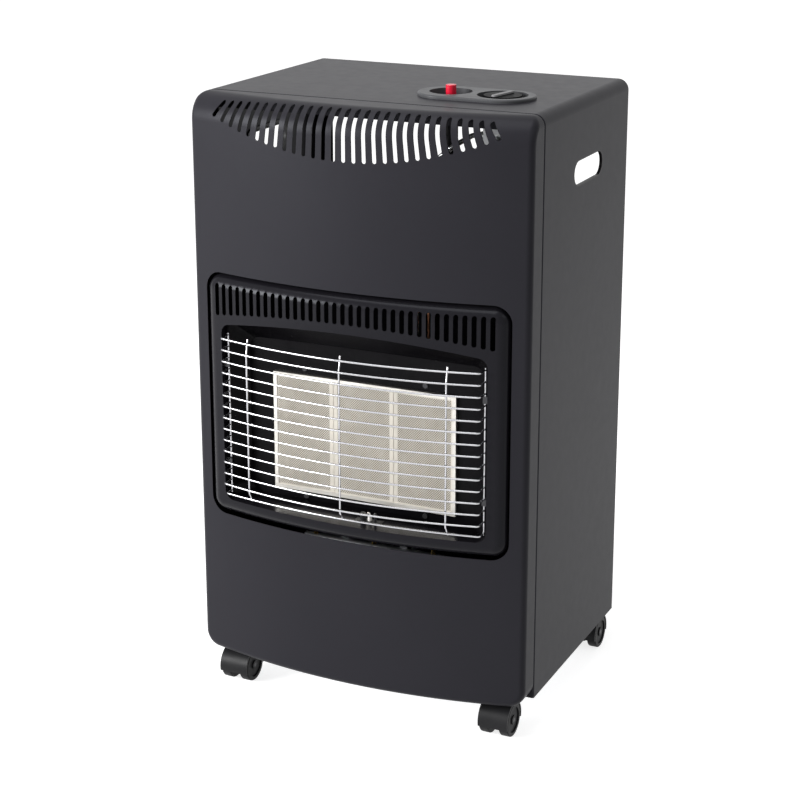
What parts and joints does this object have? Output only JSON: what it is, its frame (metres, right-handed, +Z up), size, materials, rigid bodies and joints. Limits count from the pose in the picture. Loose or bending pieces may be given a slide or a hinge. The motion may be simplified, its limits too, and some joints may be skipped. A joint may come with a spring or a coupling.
{
  "type": "portable gas cabinet heater",
  "caption": "Upright gas cabinet heater on casters, with a bowed front panel, a ceramic burner behind a wire guard, top vents, hand holes and top controls.",
  "frame": {"origin": "floor level, under the middle of the heater's box", "axes": "+Z up, front towards -Y, +X to the right seen from the front"},
  "size_m": [0.42, 0.402, 0.7415],
  "materials": {
    "graphite_paint": "satin anthracite powder coat",
    "black_enamel": "semi-gloss black heat-resistant enamel",
    "blackened_steel": "dull black oxide",
    "zinc_steel": "dull zinc-plated steel",
    "bright_steel": "bright stainless steel",
    "burner_ceramic": "porous pale ceramic with fine flame holes",
    "chrome_wire": "bright chrome plating",
    "brass_fitting": "turned brass",
    "valve_alloy": "die-cast, dull",
    "steel_spindle": "turned steel",
    "aluminium_pipe": "drawn tube",
    "copper_lead": "drawn copper",
    "lead_sheath": "silicone sheath",
    "white_ceramic": "glazed white",
    "grey_plastic": "satin grey moulding",
    "black_plastic": "satin black moulding",
    "red_plastic": "glossy red",
    "wheel_plastic": "hard black nylon"
  },
  "bodies": {
    "cabinet": {"cabinet_wrap": "graphite_paint", "base_tray": "zinc_steel", "front_panel": "graphite_paint", "radiant_surround": "black_enamel", "firebox_reflector": "black_enamel", "burner_frame": "bright_steel", "plaque_left": "burner_ceramic", "plaque_middle": "burner_ceramic", "plaque_right": "burner_ceramic", "burner_housing_left": "zinc_steel", "burner_housing_middle": "zinc_steel", "burner_housing_right": "zinc_steel", "gas_manifold": "zinc_steel", "injectors": "brass_fitting", "dress_guard": "chrome_wire", "guard_uprights": "chrome_wire", "guard_clips": "blackened_steel", "heat_shield": "black_enamel", "control_plate": "grey_plastic", "igniter_body": "black_plastic", "valve_body": "valve_alloy", "gas_inlet": "brass_fitting", "burner_pipe": "aluminium_pipe", "pilot_pipe": "aluminium_pipe", "pilot_burner": "blackened_steel", "spark_electrode": "white_ceramic", "thermocouple": "bright_steel", "ignition_lead": "lead_sheath", "thermocouple_lead": "copper_lead", "cover_studs": "zinc_steel", "hand_grip_left": "black_plastic", "hand_grip_right": "black_plastic", "front_panel_screws": "zinc_steel", "control_screws": "zinc_steel", "burner_screws": "blackened_steel", "caster_stems": "zinc_steel"},
    "valve_plug": {"valve_plug": "brass_fitting"},
    "knob": {"valve_spindle": "steel_spindle", "control_knob": "black_plastic"},
    "ignition_button": {"igniter_button": "red_plastic"},
    "rear_cover": {"rear_cover": "graphite_paint"},
    "caster_front_left": {"caster_front_left_hood": "black_plastic", "caster_front_left_axle": "blackened_steel"},
    "caster_front_left_wheel_left": {"caster_front_left_wheel_left": "wheel_plastic"},
    "caster_front_left_wheel_right": {"caster_front_left_wheel_right": "wheel_plastic"},
    "caster_front_right": {"caster_front_right_hood": "black_plastic", "caster_front_right_axle": "blackened_steel"},
    "caster_front_right_wheel_left": {"caster_front_right_wheel_left": "wheel_plastic"},
    "caster_front_right_wheel_right": {"caster_front_right_wheel_right": "wheel_plastic"},
    "caster_rear_left": {"caster_rear_left_hood": "black_plastic", "caster_rear_left_axle": "blackened_steel"},
    "caster_rear_left_wheel_left": {"caster_rear_left_wheel_left": "wheel_plastic"},
    "caster_rear_left_wheel_right": {"caster_rear_left_wheel_right": "wheel_plastic"},
    "caster_rear_right": {"caster_rear_right_hood": "black_plastic", "caster_rear_right_axle": "blackened_steel"},
    "caster_rear_right_wheel_left": {"caster_rear_right_wheel_left": "wheel_plastic"},
    "caster_rear_right_wheel_right": {"caster_rear_right_wheel_right": "wheel_plastic"}
  },
  "joints": [
    {"name": "valve_turn", "type": "hinge", "parent": "cabinet", "child": "valve_plug", "pos_m": [0.128, -0.03995, 0.7072], "axis": [0, 0, 1], "range_deg": [0, 225]},
    {"name": "knob_press", "type": "slide", "parent": "valve_plug", "child": "knob", "axis": [0, 0, -1], "range_m": [0, 0.004], "stiffness_N_per_m": 800, "springref_m": -0.004},
    {"name": "button_press", "type": "slide", "parent": "cabinet", "child": "ignition_button", "axis": [0, 0, -1], "range_m": [0, 0.006], "stiffness_N_per_m": 1200, "springref_m": -0.005},
    {"name": "rear_cover_lift", "type": "slide", "parent": "cabinet", "child": "rear_cover", "axis": [0, 0, 1], "range_m": [0, 0.012]},
    {"name": "caster_front_left_swivel", "type": "hinge", "parent": "cabinet", "child": "caster_front_left", "pos_m": [-0.172, -0.11295, 0.03], "axis": [0, 0, 1], "continuous": true},
    {"name": "caster_front_left_wheel_left_roll", "type": "hinge", "parent": "caster_front_left", "child": "caster_front_left_wheel_left", "pos_m": [-0.172, -0.13095, 0.02], "axis": [1, 0, 0], "continuous": true},
    {"name": "caster_front_left_wheel_right_roll", "type": "hinge", "parent": "caster_front_left", "child": "caster_front_left_wheel_right", "pos_m": [-0.172, -0.13095, 0.02], "axis": [1, 0, 0], "continuous": true},
    {"name": "caster_front_right_swivel", "type": "hinge", "parent": "cabinet", "child": "caster_front_right", "pos_m": [0.172, -0.11295, 0.03], "axis": [0, 0, 1], "continuous": true},
    {"name": "caster_front_right_wheel_left_roll", "type": "hinge", "parent": "caster_front_right", "child": "caster_front_right_wheel_left", "pos_m": [0.172, -0.13095, 0.02], "axis": [1, 0, 0], "continuous": true},
    {"name": "caster_front_right_wheel_right_roll", "type": "hinge", "parent": "caster_front_right", "child": "caster_front_right_wheel_right", "pos_m": [0.172, -0.13095, 0.02], "axis": [1, 0, 0], "continuous": true},
    {"name": "caster_rear_left_swivel", "type": "hinge", "parent": "cabinet", "child": "caster_rear_left", "pos_m": [-0.184, 0.11905, 0.03], "axis": [0, 0, 1], "continuous": true},
    {"name": "caster_rear_left_wheel_left_roll", "type": "hinge", "parent": "caster_rear_left", "child": "caster_rear_left_wheel_left", "pos_m": [-0.184, 0.13705, 0.02], "axis": [1, 0, 0], "continuous": true},
    {"name": "caster_rear_left_wheel_right_roll", "type": "hinge", "parent": "caster_rear_left", "child": "caster_rear_left_wheel_right", "pos_m": [-0.184, 0.13705, 0.02], "axis": [1, 0, 0], "continuous": true},
    {"name": "caster_rear_right_swivel", "type": "hinge", "parent": "cabinet", "child": "caster_rear_right", "pos_m": [0.184, 0.11905, 0.03], "axis": [0, 0, 1], "continuous": true},
    {"name": "caster_rear_right_wheel_left_roll", "type": "hinge", "parent": "caster_rear_right", "child": "caster_rear_right_wheel_left", "pos_m": [0.184, 0.13705, 0.02], "axis": [1, 0, 0], "continuous": true},
    {"name": "caster_rear_right_wheel_right_roll", "type": "hinge", "parent": "caster_rear_right", "child": "caster_rear_right_wheel_right", "pos_m": [0.184, 0.13705, 0.02], "axis": [1, 0, 0], "continuous": true}
  ]
}
